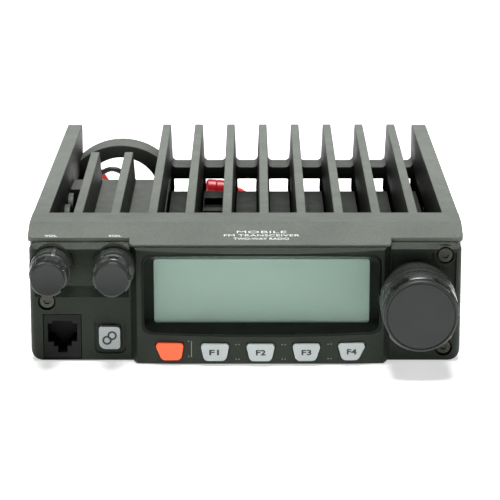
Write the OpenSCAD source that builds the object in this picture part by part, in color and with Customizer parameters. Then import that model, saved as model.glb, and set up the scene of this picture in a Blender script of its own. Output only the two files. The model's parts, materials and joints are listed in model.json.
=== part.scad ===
// Mobile transceiver: a finned die-cast chassis with a plastic control panel.
// x runs across the front, y runs from front to back, z is up.
// Modules draw in the case frame: y = 0 is the panel's side faces, z = 0 is the base.
// in_place() then moves the origin to the middle of the base.

/* [Case] */
// Width over the side walls
case_w = 160; // [158:1:164]
// Height from the base to the fin tops
case_h = 50; // [50:0.5:53]
// Depth from the panel's side faces to the fin ends
case_d = 185; // [180:1:200]
// Thickness of the side walls
wall_t = 6; // [5:0.5:6.5]
// Thickness of the bottom cover's sheet
sheet_t = 1.2; // [1:0.1:1.2]

/* [Heat sink] */
// Spacing of the fins
fin_pitch = 14; // [13.8:0.1:14.2]
// Thickness of a fin at its top
fin_t = 3.4; // [3:0.1:3.8]
// Lean of each fin side, in degrees
fin_draft = 2.6; // [1:0.2:3]
// Height of the floor between the long fins
low_floor_z = 26.6; // [26.5:0.1:28]
// Height of the floor over the speaker and the antenna socket
high_floor_z = 36; // [35.5:0.5:37]
// How far back the short fins reach
short_fin_end = 129.5; // [126:0.5:131]
// Depth of the bar that ties the fin ends together
bar_d = 15; // [10:1:17]
// Height of the underside of that bar
bar_z = 28.7; // [28.5:0.1:30]

/* [Controls] */
// Radius of the volume and squelch knobs at the skirt
small_knob_r = 7.5; // [6.8:0.1:7.6]
// How far the volume and squelch knobs stand out
small_knob_reach = 20; // [17:0.5:22]
// Radius of the tuning knob at the skirt
tuning_knob_r = 14; // [13:0.1:14.2]
// How far the tuning knob stands out
tuning_knob_reach = 27; // [24:0.5:29]
// How far a key stands out of the panel
key_reach = 1.3; // [1:0.1:1.8]
// How far a key moves when it is pressed
key_travel = 0.8; // [0.4:0.1:0.9]

/* [Display] */
// Width of the visible display
display_w = 79.5; // [76:0.5:81]
// Height of the visible display
display_h = 24.2; // [22:0.1:25]

/* [Power lead] */
// Diameter of one supply wire
wire_d = 2.4; // [2:0.1:2.6]

/* [Hidden] */
$fn = 48;

// Case
base_mid = 80;                       // y of the origin in the case frame
side_x = case_w / 2;
inner_x = side_x - wall_t;
floor_t = 5;
ledge_front = 12.1;                  // where the top ledge starts to slope down
ledge_back = 26.2;                   // where the fins leave the ledge
bulkhead_t = 3.2;
nose_y = 2;                          // front of the sloped band at the sides
mid_nose_y = -2.5;                   // front of the sloped band over the display
mid_nose_z = 45.2;
function band_z(y) = case_h - (ledge_front - y) * (case_h - mid_nose_z) / (ledge_front - mid_nose_y);
brow_gap = 0.2;
panel_top = 45;
mid_panel_top = 44.2;
chassis_front = 12.5;                // where the side walls start, behind the panel
base_z = sheet_t + 0.1;              // underside of the side walls
rear_wall_t = 4;
side_taper = 1.7;                    // how much narrower each side is at the rear
rear_y = 155.5;                      // outside of the rear wall
left_rear_y = 138;                   // outside of the rear wall at the antenna socket

// Fins
fins_from = 0;
fins_to = 9;
short_fins = 2;
fin_x = [for (i = [fins_from:fins_to]) (i - (fins_from + fins_to) / 2) * fin_pitch];
step_x = fin_x[short_fins];          // the fin between the two floor heights
fin_foot_z = 21;                     // underside of the fins behind the rear wall
function fin_half(z) = fin_t / 2 + (case_h - z) * tan(fin_draft);
web = fin_half(low_floor_z);         // half thickness of the walls under the fins
left_shelf_y = 120.5;                // front of the high floor beside the left wall
bar_t = 5.1;
bar_front = case_d - bar_d;
arch_x = -54.7;
arch_outer_r = 26.7;
arch_outer_z = bar_z - 11.9;
arch_inner_r = 16.5;
arch_inner_z = bar_z - 7;

// Fasteners
screw_r = 1.45;                      // M3 shank
screw_bore_r = 1.5;
head_r = 2.6;
bracket_bore_r = 1.65;               // tapping size of M4
bracket_y = [92, 111];
bracket_z = 31;
pad_y = 174;                         // round ejector pad near the end of each side wall
pad_z = 25.6;
cover_screw_at = [
    [-inner_x + 3, 30], [inner_x - 3, 30], [-inner_x + 3, 128],
    [inner_x - 3, 146], [-28, 148], [36, 148]
];
panel_screw_at = [[-side_x + 6.8, 22.8], [side_x - 6.6, 40.3], [side_x - 6.7, 5.2]];

// Panel
panel_w = case_w - 1;
panel_back = 12.2;
panel_base = 0.3;
panel_wall = 2.4;
sunk_y = 1.5;                        // face of the sunk field round the knobs
sunk_z = 28.5;
sunk_slope = 4;                      // height of the slope below the field
mid_x0 = -42.5;                      // left and right ends of the display section
mid_x1 = 53.5;
mid_x = (mid_x0 + mid_x1) / 2;
mid_front = -6.1;                    // foremost line of the bowed display section
bow_r = 500;
function bow_y(x) = mid_front + bow_r - sqrt(bow_r * bow_r - (x - mid_x) * (x - mid_x));
display_x = mid_x + 0.5;
display_z = 26.4;
display_y = 1.7;                     // plane of the display window's face
bezel_w = 90;
bezel_h = 30.8;
bezel_z = 26.9;
bezel_r = 4.5;
bezel_t = 0.8;

// Board behind the panel
board_y = 8.9;
board_t = 1.6;

// Keys: [node, middle x, left slant, right slant]
key_w = 10.7;
key_h = 6.3;
key_z = 5.3;
key_gap = 0.35;
key_root = -1.6;                     // back of a key's cap
key_flange = 0.7;
stem_r = 1.2;
plunger_t = key_travel + 0.4;        // how far a plunger stands out of its switch
keys = [
    ["power_key", -28, 2.6, 1], ["function_key_1", -11.2, 1.4, 1.3],
    ["function_key_2", 5.6, 1.4, 1.4], ["function_key_3", 22.5, 1.4, 2],
    ["function_key_4", 39.2, 1.7, 3.1]
];
link_x = -50.2;
link_z = 9.2;
link_w = 7.8;
link_h = 8.6;

// Knobs
volume_x = -side_x + 8.9;
squelch_x = volume_x + 23.1;
small_z = 36.6;
tuning_x = side_x - 17;
tuning_z = 25.1;
collar_front = -2.2;
collar_r = 8.1;
tuning_collar_front = -5;
tuning_collar_r = 12.8;
knob_gap = 0.6;                      // between a collar and the knob in front of it
shaft_r = 3;
shaft_fit = 0.06;
bushing_r = 3.6;
pointer_w = 1.7;
volume_turn = 13;                    // where the pointers stand at rest, from the top
squelch_turn = -31;

// Microphone socket
jack_x = -67.7;
jack_z = 9.4;
jack_w = 13.9;
jack_h = 16.9;
jack_front = 0.3;
jack_back = 12.2;

// Boards and parts in the bay
bay_z = low_floor_z - floor_t;
main_board_z = 5;
board_x0 = -32;
board_x1 = 69.5;
board_y0 = 19;
board_y1 = 148;
module_x = 18;
module_y = 128;
module_w = 67;
module_d = 18;
speaker_x = -54.5;
speaker_y = 66;
speaker_r = 17;

// Rear connectors
antenna_x = -54.5;
antenna_z = 16.5;
flange_w = 25;
antenna_pitch = 18.2;
barrel_r = 7.9;
grommet_x = -3;
grommet_z = 12;
grommet_r = 5.4;
ext_jack_x = 52;
ext_jack_z = 13;
ext_jack_r = 1.8;
ext_jack_w = 9;

// Supply lead: routes of the two wires, their fuse holder and their plug
red_route = [
    [-3, 158, 13.4], [-3, 161, 13.4], [-0.8, 171, 12.4], [1.4, 181, 12.8], [0.6, 189.6, 15.4],
    [-3.4, 194.6, 17.4], [-9, 196, 18], [-18.4, 196, 18.8], [-22.4, 199.4, 15.8],
    [-23.4, 205, 10.6], [-28, 210, 7.6], [-37, 211.6, 7], [-46, 210.6, 7.4], [-55, 209, 8.6],
    [-61, 207.6, 13.6], [-64.2, 207, 20], [-68, 208, 24.4], [-73.4, 210.6, 23.4],
    [-76.6, 215.6, 17.6], [-76.6, 223.4, 10.6], [-72.6, 229.6, 5], [-65, 232, 2.2],
    [-55.4, 230.4, 1.6], [-45, 225.6, 1.6], [-34, 219.6, 1.6], [-23, 213.2, 1.6],
    [-12, 207, 2.6], [-2, 202.4, 5.2], [6, 201, 6], [10, 201, 6]
];
black_route = [
    [-3, 158, 10.4], [-3, 161, 10.4], [-3.6, 171, 8.4], [-6, 182, 6.4], [-12, 192, 5],
    [-22, 198, 4.8], [-33, 202, 6.8], [-43, 203.4, 12.4], [-51.4, 203, 20.2], [-60, 202.6, 25.4],
    [-67, 203.6, 22], [-69.6, 209, 15.4], [-68, 217, 9.6], [-61.6, 223.2, 5], [-52, 223.6, 2.2],
    [-42, 218.6, 1.6], [-31.6, 212, 1.6], [-21, 205.4, 1.6], [-11, 200.2, 2.8], [-2, 197.4, 5.2],
    [6, 197, 6], [10, 197, 6]
];
fuse_from = [-9, 196, 18];           // where the red wire enters its fuse holder
fuse_to = [-18.4, 196, 18.8];
fuse_r = 3.6;
plug_at = [10, 199, 6];              // middle of the face that the wires enter
plug_l = 24;
plug_w = 14;
plug_h = 12;

module in_place() {
    translate([0, -base_mid, 0])
        children();
}

// A shape drawn in x and z, carried from y0 back to y1
module along_y(y0, y1) {
    translate([0, y1, 0])
        rotate([90, 0, 0])
            linear_extrude(y1 - y0)
                children();
}

// A shape drawn in y and z, carried from x0 to x1
module along_x(x0, x1) {
    translate([x0, 0, 0])
        rotate([90, 0, 90])
            linear_extrude(x1 - x0)
                children();
}

module rod_x(y, z, r, x0, x1) {
    translate([x0, y, z])
        rotate([0, 90, 0])
            cylinder(h = x1 - x0, r = r);
}

module rod_y(x, z, r, y0, y1) {
    translate([x, y1, z])
        rotate([90, 0, 0])
            cylinder(h = y1 - y0, r = r);
}

module rod_z(x, y, r, z0, z1) {
    translate([x, y, z0])
        cylinder(h = z1 - z0, r = r);
}

module block(x0, x1, y0, y1, z0, z1) {
    translate([x0, y0, z0])
        cube([x1 - x0, y1 - y0, z1 - z0]);
}

// Corner points [x, y, radius] become arcs
CORNER_STEPS = 6;
function unit(v) = v / norm(v);
function turn(a) = a > 180 ? a - 360 : a < -180 ? a + 360 : a;
function corner_arc(p, a, b) =
    let (at = [p.x, p.y], u = unit(a - at), v = unit(b - at), half = acos(u * v) / 2,
        middle = at + unit(u + v) * p.z / sin(half), t = p.z / tan(half),
        from = at + u * t - middle, to = at + v * t - middle, a0 = atan2(from.y, from.x),
        sweep = turn(atan2(to.y, to.x) - a0))
    [for (i = [0:CORNER_STEPS]) let (w = a0 + sweep * i / CORNER_STEPS)
        middle + p.z * [cos(w), sin(w)]];
function rounded(c) = [for (i = [0:len(c) - 1])
    let (p = c[i], a = c[(i + len(c) - 1) % len(c)], b = c[(i + 1) % len(c)])
    each (p.z == 0 ? [[p.x, p.y]] : corner_arc(p, [a.x, a.y], [b.x, b.y]))];
function box_corners(w, h, r) =
    [[-w / 2, -h / 2, r], [w / 2, -h / 2, r], [w / 2, h / 2, r], [-w / 2, h / 2, r]];

module rounded_box(w, h, r) {
    polygon(rounded(box_corners(w, h, r)));
}

// ---------------------------------------------------------------- chassis

// Top ledge and sloped band, cut to the plan of the front edge
module brow(x0, x1, front, under_z, corner_r) {
    intersection() {
        along_x(x0, x1)
            polygon([
                [front, under_z], [front, band_z(front)], [ledge_front, case_h],
                [ledge_back, case_h],
                [ledge_back, case_h - 4], [ledge_front + 4, case_h - 4], [ledge_front, under_z]
            ]);
        linear_extrude(case_h)
            polygon(rounded([
                [x0, front, corner_r], [x1, front, corner_r],
                [x1, ledge_back, 0], [x0, ledge_back, 0]
            ]));
    }
}

// Side wall, a little closer to the middle at the rear than at the front
module side_wall(s) {
    difference() {
        intersection() {
            along_x(-side_x, side_x)
                polygon(rounded([
                    [chassis_front, base_z, 0], [case_d, base_z, 4], [case_d, case_h, 2.5],
                    [ledge_front, case_h, 0], [chassis_front, case_h - 1, 0]
                ]));
            linear_extrude(case_h)
                polygon([
                    [s * side_x, chassis_front - 1], [s * (side_x - side_taper), case_d],
                    [s * (inner_x - side_taper), case_d], [s * inner_x, chassis_front - 1]
                ]);
        }
        bracket_holes(s);
    }
}

module bracket_holes(s) {
    x0 = s > 0 ? inner_x - 5 : -side_x - 1;
    for (y = bracket_y)
        rod_x(y, bracket_z, bracket_bore_r, x0, x0 + wall_t + 6);
}

// Bosses that carry the left bracket's threads deeper than the wall, and the ejector pads
module bracket_bosses(s) {
    if (s < 0)
        difference() {
            for (y = bracket_y)
                rod_x(y, bracket_z, 5.6, -inner_x - 0.5, -inner_x + 3);
            bracket_holes(s);
        }
    x0 = s > 0 ? inner_x - 2.3 : -inner_x - 0.5;
    rod_x(pad_y, pad_z, 3, x0, x0 + 2.8);
}

module fin(x, y_end, z0) {
    along_y(ledge_back - 1, y_end)
        polygon([
            [x - fin_half(z0), z0], [x + fin_half(z0), z0],
            [x + fin_half(case_h), case_h], [x - fin_half(case_h), case_h]
        ]);
}

module fins() {
    // Short fins, with a leaning end
    intersection() {
        for (i = [fins_from:short_fins - 1])
            fin(fin_x[i], left_rear_y, high_floor_z - 1);
        along_x(-side_x, side_x)
            polygon(rounded([
                [0, 0, 0], [short_fin_end + 5.4, 0, 0],
                [short_fin_end + 5.4, high_floor_z - 0.5, 0], [short_fin_end, case_h, 1.6],
                [0, case_h, 0]
            ]));
    }
    // Long fins, with feet behind the rear wall
    intersection() {
        for (i = [short_fins:fins_to])
            fin(fin_x[i], case_d, fin_foot_z);
        along_x(-side_x, side_x)
            polygon(rounded([
                [0, low_floor_z - 1, 0], [rear_y - 2, low_floor_z - 1, 0],
                [rear_y - 2, fin_foot_z, 0], [case_d, fin_foot_z, 1.6], [case_d, case_h, 1.6],
                [0, case_h, 0]
            ]));
    }
}

module floors() {
    front = ledge_back - bulkhead_t;
    left_x = fin_x[fins_from];
    // Low floor between the long fins, and beside the left wall
    block(step_x, inner_x + 0.5, front, rear_y, bay_z, low_floor_z);
    block(-inner_x - 0.5, left_x, front, left_rear_y, bay_z, low_floor_z);
    // High floor, with a shelf across to the left wall at its rear
    block(left_x, step_x, front, left_rear_y, high_floor_z - floor_t, high_floor_z);
    block(-inner_x - 0.5, left_x, left_shelf_y, left_rear_y, bay_z, high_floor_z);
    // Walls under the fins where the floor changes height
    block(step_x - web, step_x + web, front, left_rear_y, bay_z, high_floor_z);
    block(left_x - web, left_x + web, front, left_rear_y, bay_z, high_floor_z);
    // Bulkhead between the panel's bay and the fins
    block(step_x, inner_x + 0.5, front, ledge_back, bay_z, case_h);
    block(left_x, step_x, front, ledge_back, high_floor_z - floor_t, case_h);
    block(-inner_x - 0.5, left_x, front, ledge_back, bay_z, case_h);
}

module rear_walls() {
    block(step_x - web, inner_x - 0.7, rear_y - rear_wall_t, rear_y, base_z, low_floor_z);
    block(-inner_x + 0.5, step_x + web, left_rear_y - rear_wall_t, left_rear_y,
        base_z, high_floor_z);
    block(step_x - web, step_x + web, left_rear_y - rear_wall_t, rear_y, base_z, low_floor_z);
}

// Round corner between the bar and a fin; s and up say which way it faces
module bar_fillet(x, s, z, up, r) {
    along_y(bar_front, case_d - 0.5)
        translate([x, z])
            scale([s, up])
                difference() {
                    translate([-0.4, -0.4])
                        square(r + 0.4);
                    translate([r, r])
                        circle(r = r, $fn = 48);
                }
}

// Bar across the fin ends, arched over the antenna socket
module fin_bar() {
    rear = case_d - 0.5;
    block(step_x, inner_x + 0.5, bar_front, rear, bar_z, bar_z + bar_t);
    for (i = [short_fins:fins_to])
        for (s = [-1, 1])
            if (i > short_fins || s > 0) {
                bar_fillet(fin_x[i] + s * (fin_half(bar_z + bar_t) - 0.1), s, bar_z + bar_t, 1, 2);
                bar_fillet(fin_x[i] + s * (fin_half(bar_z) - 0.1), s, bar_z, -1, 1.2);
            }
    bar_fillet(inner_x - side_taper, -1, bar_z + bar_t, 1, 2);
    bar_fillet(inner_x - side_taper, -1, bar_z, -1, 1.2);
    intersection() {
        along_y(bar_front, case_d - 0.5)
            difference() {
                translate([arch_x, arch_outer_z])
                    circle(r = arch_outer_r);
                translate([arch_x, arch_inner_z])
                    circle(r = arch_inner_r);
            }
        block(-inner_x - 0.5, step_x + 0.5, bar_front, case_d, bar_z, case_h);
    }
}

module screw_posts() {
    for (p = cover_screw_at)
        rod_z(p.x, p.y, 3.6, base_z, p.x < step_x ? high_floor_z - 1 : low_floor_z - 1);
    for (p = panel_screw_at)
        rod_y(p.x, p.y, 3.2, chassis_front, ledge_back - 1);
    for (p = main_screw_at)
        rod_z(p.x, p.y, 3, main_board_z + board_t, low_floor_z - 1);
}

main_screw_at = [[-30, 26], [66, 26], [66, 118], [-30, 110]];

// Two shallow wells in the floor of one channel
module floor_wells() {
    x0 = fin_x[3] + web + 0.4;
    x1 = fin_x[4] - web - 0.4;
    block(x0, x1, 127, 143.6, low_floor_z - 3, low_floor_z + 1);
    block(x0, x1, 104, 121, low_floor_z - 3, low_floor_z + 1);
}

module heatsink_chassis() {
    in_place()
        color("dimgray")
            difference() {
                union() {
                    difference() {
                        brow(-side_x, side_x, nose_y, panel_top + brow_gap, 2);
                        block(mid_x0, mid_x1, 0, chassis_front - 0.4, 0, mid_panel_top + brow_gap);
                    }
                    brow(mid_x0, mid_x1, mid_nose_y, mid_panel_top + brow_gap, 1.5);
                    for (s = [-1, 1]) {
                        side_wall(s);
                        bracket_bosses(s);
                    }
                    fins();
                    floors();
                    rear_walls();
                    fin_bar();
                    screw_posts();
                }
                for (p = cover_screw_at)
                    rod_z(p.x, p.y, screw_bore_r, 0, 10);
                for (p = panel_screw_at)
                    rod_y(p.x, p.y, screw_bore_r, 0, 22);
                for (p = main_screw_at)
                    rod_z(p.x, p.y, screw_bore_r, 0, 13);
                for (x = module_screw_x)
                    rod_z(x, module_y, screw_bore_r, 0, low_floor_z - 1.2);
                translate([antenna_x, 0, antenna_z])
                    along_y(left_rear_y - 6, left_rear_y + 1)
                        square(12.8, center = true);
                antenna_screw_places()
                    rod_y(0, 0, screw_bore_r, left_rear_y - 6, left_rear_y + 1);
                rod_y(grommet_x, grommet_z, grommet_r, rear_y - 6, rear_y + 1);
                translate([ext_jack_x, 0, ext_jack_z])
                    along_y(rear_y - 6, rear_y + 1)
                        square(ext_jack_w + 0.2, center = true);
                floor_wells();
            }
}

// ---------------------------------------------------------------- bottom

module countersunk(p, r, z_head, z_end) {
    rod_z(p.x, p.y, r, z_head, z_end);
    translate([p.x, p.y, z_head])
        cylinder(h = 1.1, r1 = 2.8, r2 = r);
}

module bottom_cover() {
    slot_pitch = 4;
    in_place()
        color("gray")
            difference() {
                block(-side_x + 0.6, side_x - 0.6, chassis_front + 0.3, rear_y + 0.2, 0, sheet_t);
                for (p = cover_screw_at)
                    translate([p.x, p.y, -0.01])
                        cylinder(h = sheet_t + 0.1, r1 = 2.95, r2 = screw_bore_r);
                for (i = [-3:3])
                    translate([speaker_x + i * slot_pitch, speaker_y, 0])
                        linear_extrude(3 * sheet_t, center = true)
                            rounded_box(2, 24 - 2.4 * abs(i), 0.95);
                for (x = [board_x0 + 18, 10, board_x1 - 20])
                    translate([x, base_mid + 26, 0])
                        linear_extrude(3 * sheet_t, center = true)
                            rounded_box(22, 2, 0.95);
            }
}

module bottom_cover_screws() {
    in_place()
        color("black")
            for (p = cover_screw_at)
                difference() {
                    countersunk(p, screw_r, 0, 8);
                    for (w = [0, 90])
                        translate([p.x, p.y, 0])
                            rotate(w)
                                cube([2.6, 0.5, 1.2], center = true);
                }
}

// ---------------------------------------------------------------- panel

// Front outline of one side block, with its outer corners rounded
module side_block(s) {
    x_in = s < 0 ? mid_x0 + 1 : mid_x1 - 1;
    x_out = s * panel_w / 2;
    corners = [
        [x_in, panel_base, 0], [x_out, panel_base, 4.5], [x_out, panel_top, 2.8],
        [x_in, panel_top, 0]
    ];
    plan = [[x_in, 0, 0], [x_out, 0, 2.5], [x_out, panel_back, 0], [x_in, panel_back, 0]];
    intersection() {
        along_y(0, panel_back)
            polygon(rounded(corners));
        linear_extrude(panel_top)
            polygon(rounded(plan));
        along_x(-side_x, side_x)
            polygon([
                [0, panel_base], [panel_back, panel_base], [panel_back, panel_top],
                [nose_y, panel_top], [0, panel_top - 2.2]
            ]);
    }
}

// Sunk field round the knobs, with a sloping lower edge
module sunk_field(x0, x1) {
    along_x(x0, x1)
        polygon([
            [-1, sunk_z - sunk_slope], [0, sunk_z - sunk_slope], [sunk_y, sunk_z],
            [sunk_y, panel_top - 3.4], [-1, panel_top - 3.4]
        ]);
}

module display_section() {
    bow_steps = 12;
    chamfer = 2.6;
    bow = [for (i = [0:bow_steps])
        let (x = mid_x0 + chamfer + (mid_x1 - mid_x0 - 2 * chamfer) * i / bow_steps)
        [x, bow_y(x)]];
    intersection() {
        along_y(mid_front - 1, panel_back)
            polygon(rounded([
                [mid_x0, panel_base, 2.5], [mid_x1, panel_base, 2.5],
                [mid_x1, mid_panel_top, 2], [mid_x0, mid_panel_top, 2]
            ]));
        linear_extrude(case_h)
            polygon(concat([[mid_x0, panel_back], [mid_x0, 0.4]], bow,
                [[mid_x1, 0.4], [mid_x1, panel_back]]));
        along_x(mid_x0, mid_x1)
            polygon(rounded([
                [mid_front - 0.1, panel_base, 1.6], [panel_back, panel_base, 0],
                [panel_back, mid_panel_top, 0], [mid_nose_y, mid_panel_top, 0],
                [mid_front - 0.1, mid_panel_top - 1.6, 0.8]
            ]));
    }
}

// Funnel-shaped frame from the panel's face back to the display
module bezel_shape(grow) {
    hull() {
        along_y(mid_front - 1, mid_front - 0.9)
            translate([display_x, bezel_z])
                rounded_box(bezel_w + 2 * grow, bezel_h + 2 * grow, bezel_r);
        along_y(display_y - 0.1, display_y)
            translate([display_x, display_z])
                rounded_box(display_w + 2 * grow, display_h + 2 * grow, 1);
    }
}

function key_outline(w, h, left, right, grow) = rounded([
    [-w / 2 + left - grow, -h / 2 - grow, 1.9], [w / 2 - right + grow, -h / 2 - grow, 1.9],
    [w / 2 + grow, h / 2 + grow, 1.1], [-w / 2 - grow, h / 2 + grow, 1.1]
]);
function link_outline(grow) = rounded([
    [-link_w / 2 - grow, -link_h / 2 - grow, 2.6], [link_w / 2 + grow, -link_h / 2 - grow, 1.3],
    [link_w / 2 + grow, link_h / 2 + grow, 1.5], [-link_w / 2 - grow, link_h / 2 + grow, 1]
]);

module panel_hollow() {
    block(-panel_w / 2 + panel_wall, panel_w / 2 - panel_wall,
        sunk_y + panel_wall, panel_back + 1, 2.6, mid_panel_top - 2);
    block(mid_x0 + 4, mid_x1 - 4, -2.8, panel_back + 1, 1.6, mid_panel_top - 2.6);
}

// Posts that the control board is screwed to
module board_posts() {
    for (p = board_screw_at)
        rod_y(p.x, p.y, 2.2, sunk_y + 1, board_y);
}

module knob_collar(x, z, r, front) {
    rod_y(x, z, r, front, sunk_y + panel_wall);
}

// Hollow of a collar, leaving a floor for the bushing to clamp
module collar_hollow(x, z, r, front) {
    rod_y(x, z, r, front - 1, sunk_y);
    rod_y(x, z, bushing_r + 0.1, front - 1, panel_back);
}

module front_panel() {
    in_place()
        color("darkslategray")
            difference() {
                union() {
                    difference() {
                        union() {
                            side_block(-1);
                            side_block(1);
                            display_section();
                        }
                        panel_hollow();
                        sunk_field(-panel_w / 2 + 2, mid_x0 - 0.4);
                        sunk_field(mid_x1 + 0.4, panel_w / 2 - 2);
                        // Scoop that clears the squelch knob beside the display section
                        rod_y(squelch_x, small_z, small_knob_r + 0.6, -20, collar_front);
                    }
                    intersection() {
                        bezel_shape(bezel_t + 1.3);
                        block(mid_x0, mid_x1, bow_y(mid_x0 + 3) + 1, display_y, 0, mid_panel_top);
                    }
                    knob_collar(volume_x, small_z, collar_r, collar_front);
                    knob_collar(squelch_x, small_z, collar_r, collar_front);
                    intersection() {
                        knob_collar(tuning_x, tuning_z, tuning_collar_r, tuning_collar_front);
                        block(display_x + bezel_w / 2 - 0.4, side_x, -10, 10, 0, case_h);
                    }
                    board_posts();
                    for (p = panel_screw_at)
                        rod_y(p.x, p.y, 4.2, 1, panel_back);
                }
                bezel_shape(bezel_t + 0.05);
                // Under the middle part of the case's band
                block(mid_x0 - 0.3, mid_x1 + 0.3, -20, panel_back + 1, mid_panel_top, case_h);
                for (p = panel_screw_at) {
                    rod_y(p.x, p.y, 3.3, -2, 2.3);
                    rod_y(p.x, p.y, screw_bore_r + 0.1, 0, panel_back + 1);
                }
                for (p = board_screw_at)
                    rod_y(p.x, p.y, 1.05, board_y - 2.5, board_y + 1);
                collar_hollow(volume_x, small_z, 6.2, collar_front);
                collar_hollow(squelch_x, small_z, 6.2, collar_front);
                collar_hollow(tuning_x, tuning_z, 11, tuning_collar_front);
                for (k = keys)
                    translate([k[1], 0, key_z])
                        along_y(-8, 0)
                            polygon(key_outline(key_w, key_h, k[2], k[3], key_gap));
                translate([link_x, 0, link_z])
                    along_y(-1, 5)
                        polygon(link_outline(key_gap));
                translate([link_x + 0.2, 0, link_z + 0.9])
                    along_y(-1, 0.8)
                        rounded_box(link_w + 3.8, link_h + 6, 2.4);
                block(jack_x - jack_w / 2 - 0.2, jack_x + jack_w / 2 + 0.2, -1, panel_back + 1,
                    jack_z - jack_h / 2 - 0.2, jack_z + jack_h / 2 + 0.2);
            }
}

// Socket-head screw, head towards the front
module panel_screws() {
    in_place()
        color("silver")
            for (p = panel_screw_at)
                difference() {
                    union() {
                        rod_y(p.x, p.y, head_r, 0.9, 2.3);
                        rod_y(p.x, p.y, screw_r, 2, 21);
                    }
                    translate([p.x, 0, p.y])
                        along_y(0, 1.8)
                            circle(r = 1.4, $fn = 6);
                }
}

// ---------------------------------------------------------------- display

// Glossy funnel between the panel and the display
module display_bezel() {
    in_place()
        color("black")
            difference() {
                intersection() {
                    bezel_shape(bezel_t);
                    linear_extrude(case_h)
                        polygon(concat([[mid_x1, display_y], [mid_x0, display_y]],
                            [for (i = [0:12]) let (x = mid_x0 + (mid_x1 - mid_x0) * i / 12)
                                [x, bow_y(x) + 0.25]]));
                }
                bezel_shape(0);
                rod_y(tuning_x, tuning_z, tuning_collar_r + 0.1, -20, 10);
            }
}

module display_window() {
    in_place()
        color("palegreen", 0.4)
            translate([display_x, 0, display_z])
                along_y(display_y + 0.1, display_y + 1.1)
                    rounded_box(display_w + 3, display_h + 2.6, 1);
}

module lcd_glass() {
    in_place()
        color("darkseagreen")
            translate([display_x, 0, display_z])
                along_y(display_y + 1.2, display_y + 3.4)
                    rounded_box(display_w + 2.6, display_h + 2.4, 0.5);
}

module lcd_backlight() {
    in_place()
        color("white")
            translate([display_x, 0, display_z])
                along_y(display_y + 3.5, display_y + 5.7)
                    rounded_box(display_w + 2.6, display_h + 2.4, 0.5);
}

module lcd_frame() {
    in_place()
        color("gainsboro")
            translate([display_x, 0, display_z])
                along_y(display_y + 0.2, board_y)
                    difference() {
                        rounded_box(display_w + 6.4, display_h + 5.6, 1.2);
                        rounded_box(display_w + 3.2, display_h + 2.9, 0.6);
                    }
}

// ---------------------------------------------------------------- board

board_screw_at = [[-59.5, 39.6], [-56.5, 25], [54.8, 39.4], [54, 5.4]];

module control_board() {
    in_place()
        color("darkgreen")
            difference() {
                along_y(board_y, board_y + board_t)
                    polygon(rounded([
                        [-60, 3.2, 1], [panel_w / 2 - 12, 3.2, 1], [panel_w / 2 - 12, 16, 1],
                        [panel_w / 2 - 3.4, 16, 1], [panel_w / 2 - 3.4, 35, 1],
                        [panel_w / 2 - 12, 35, 1], [panel_w / 2 - 12, 41.8, 1],
                        [-panel_w / 2 + 3.4, 41.8, 1], [-panel_w / 2 + 3.4, 28, 1],
                        [-60, 28, 1]
                    ]));
                for (p = board_screw_at)
                    rod_y(p.x, p.y, 1.05, board_y - 1, board_y + 3);
            }
}

module control_board_screws() {
    in_place()
        color("silver")
            for (p = board_screw_at) {
                rod_y(p.x, p.y, 1.9, board_y + board_t, board_y + board_t + 1.2);
                rod_y(p.x, p.y, 1, board_y - 2, board_y + board_t + 0.5);
            }
}

// Front faces of the switches and of the plungers in them
switch_front = board_y - 3.6;
plunger_front = switch_front - plunger_t;

module key_switch(x, z) {
    difference() {
        block(x - 3, x + 3, switch_front, board_y, z - 1.9, z + 1.9);
        rod_y(x, z, 1.25, switch_front - 1, board_y - 0.8);
    }
}

module key_switches() {
    in_place()
        color("black") {
            for (k = keys)
                key_switch(k[1], key_z);
            key_switch(link_x, link_z);
        }
}

module plunger(x, z) {
    in_place()
        color("ivory")
            rod_y(x, z, 1.1, plunger_front, switch_front + 1.2);
}

// ---------------------------------------------------------------- keys

module function_key(k, tone) {
    front = bow_y(k[1]) - key_reach;
    in_place()
        color(tone)
            union() {
                translate([k[1], 0, key_z])
                    along_y(front, key_root)
                        polygon(key_outline(key_w, key_h, k[2], k[3], 0));
                translate([k[1], 0, key_z])
                    along_y(key_root - key_flange, key_root)
                        polygon(key_outline(key_w, key_h - 1, k[2], k[3], key_gap + 0.4));
                rod_y(k[1], key_z, stem_r, key_root - 0.5, plunger_front);
            }
}

module link_key() {
    in_place()
        color("silver")
            translate([link_x, 0, link_z])
                along_y(-key_reach, plunger_front)
                    polygon(link_outline(0));
}

module power_key() { function_key(keys[0], "tomato"); }
module function_key_1() { function_key(keys[1], "silver"); }
module function_key_2() { function_key(keys[2], "silver"); }
module function_key_3() { function_key(keys[3], "silver"); }
module function_key_4() { function_key(keys[4], "silver"); }
module power_key_plunger() { plunger(keys[0][1], key_z); }
module function_key_1_plunger() { plunger(keys[1][1], key_z); }
module function_key_2_plunger() { plunger(keys[2][1], key_z); }
module function_key_3_plunger() { plunger(keys[3][1], key_z); }
module function_key_4_plunger() { plunger(keys[4][1], key_z); }
module link_key_plunger() { plunger(link_x, link_z); }

// ---------------------------------------------------------------- knobs

flutes = 5;
flute_angle = 360 / flutes;

// A knob on the y axis: a skirt at the back, a fluted grip in front, a socket for the shaft
module knob_shape(r_skirt, r_grip, back, skirt, reach, hollow_r, socket) {
    difference() {
        union() {
            rod_y(0, 0, r_skirt, -skirt, back);
            rod_y(0, 0, r_grip, -reach, -skirt + 1);
        }
        for (i = [0:flutes - 1])
            rotate([0, (i + 0.25) * flute_angle, 0])
                block(r_grip - 0.9, r_grip + 2, -reach + 2.2, -skirt - 1.5,
                    -0.27 * r_grip, 0.27 * r_grip);
        rod_y(0, 0, hollow_r, back - 4.6, 0);
        rod_y(0, 0, shaft_r + 0.02, -socket, 0);
    }
}

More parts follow.
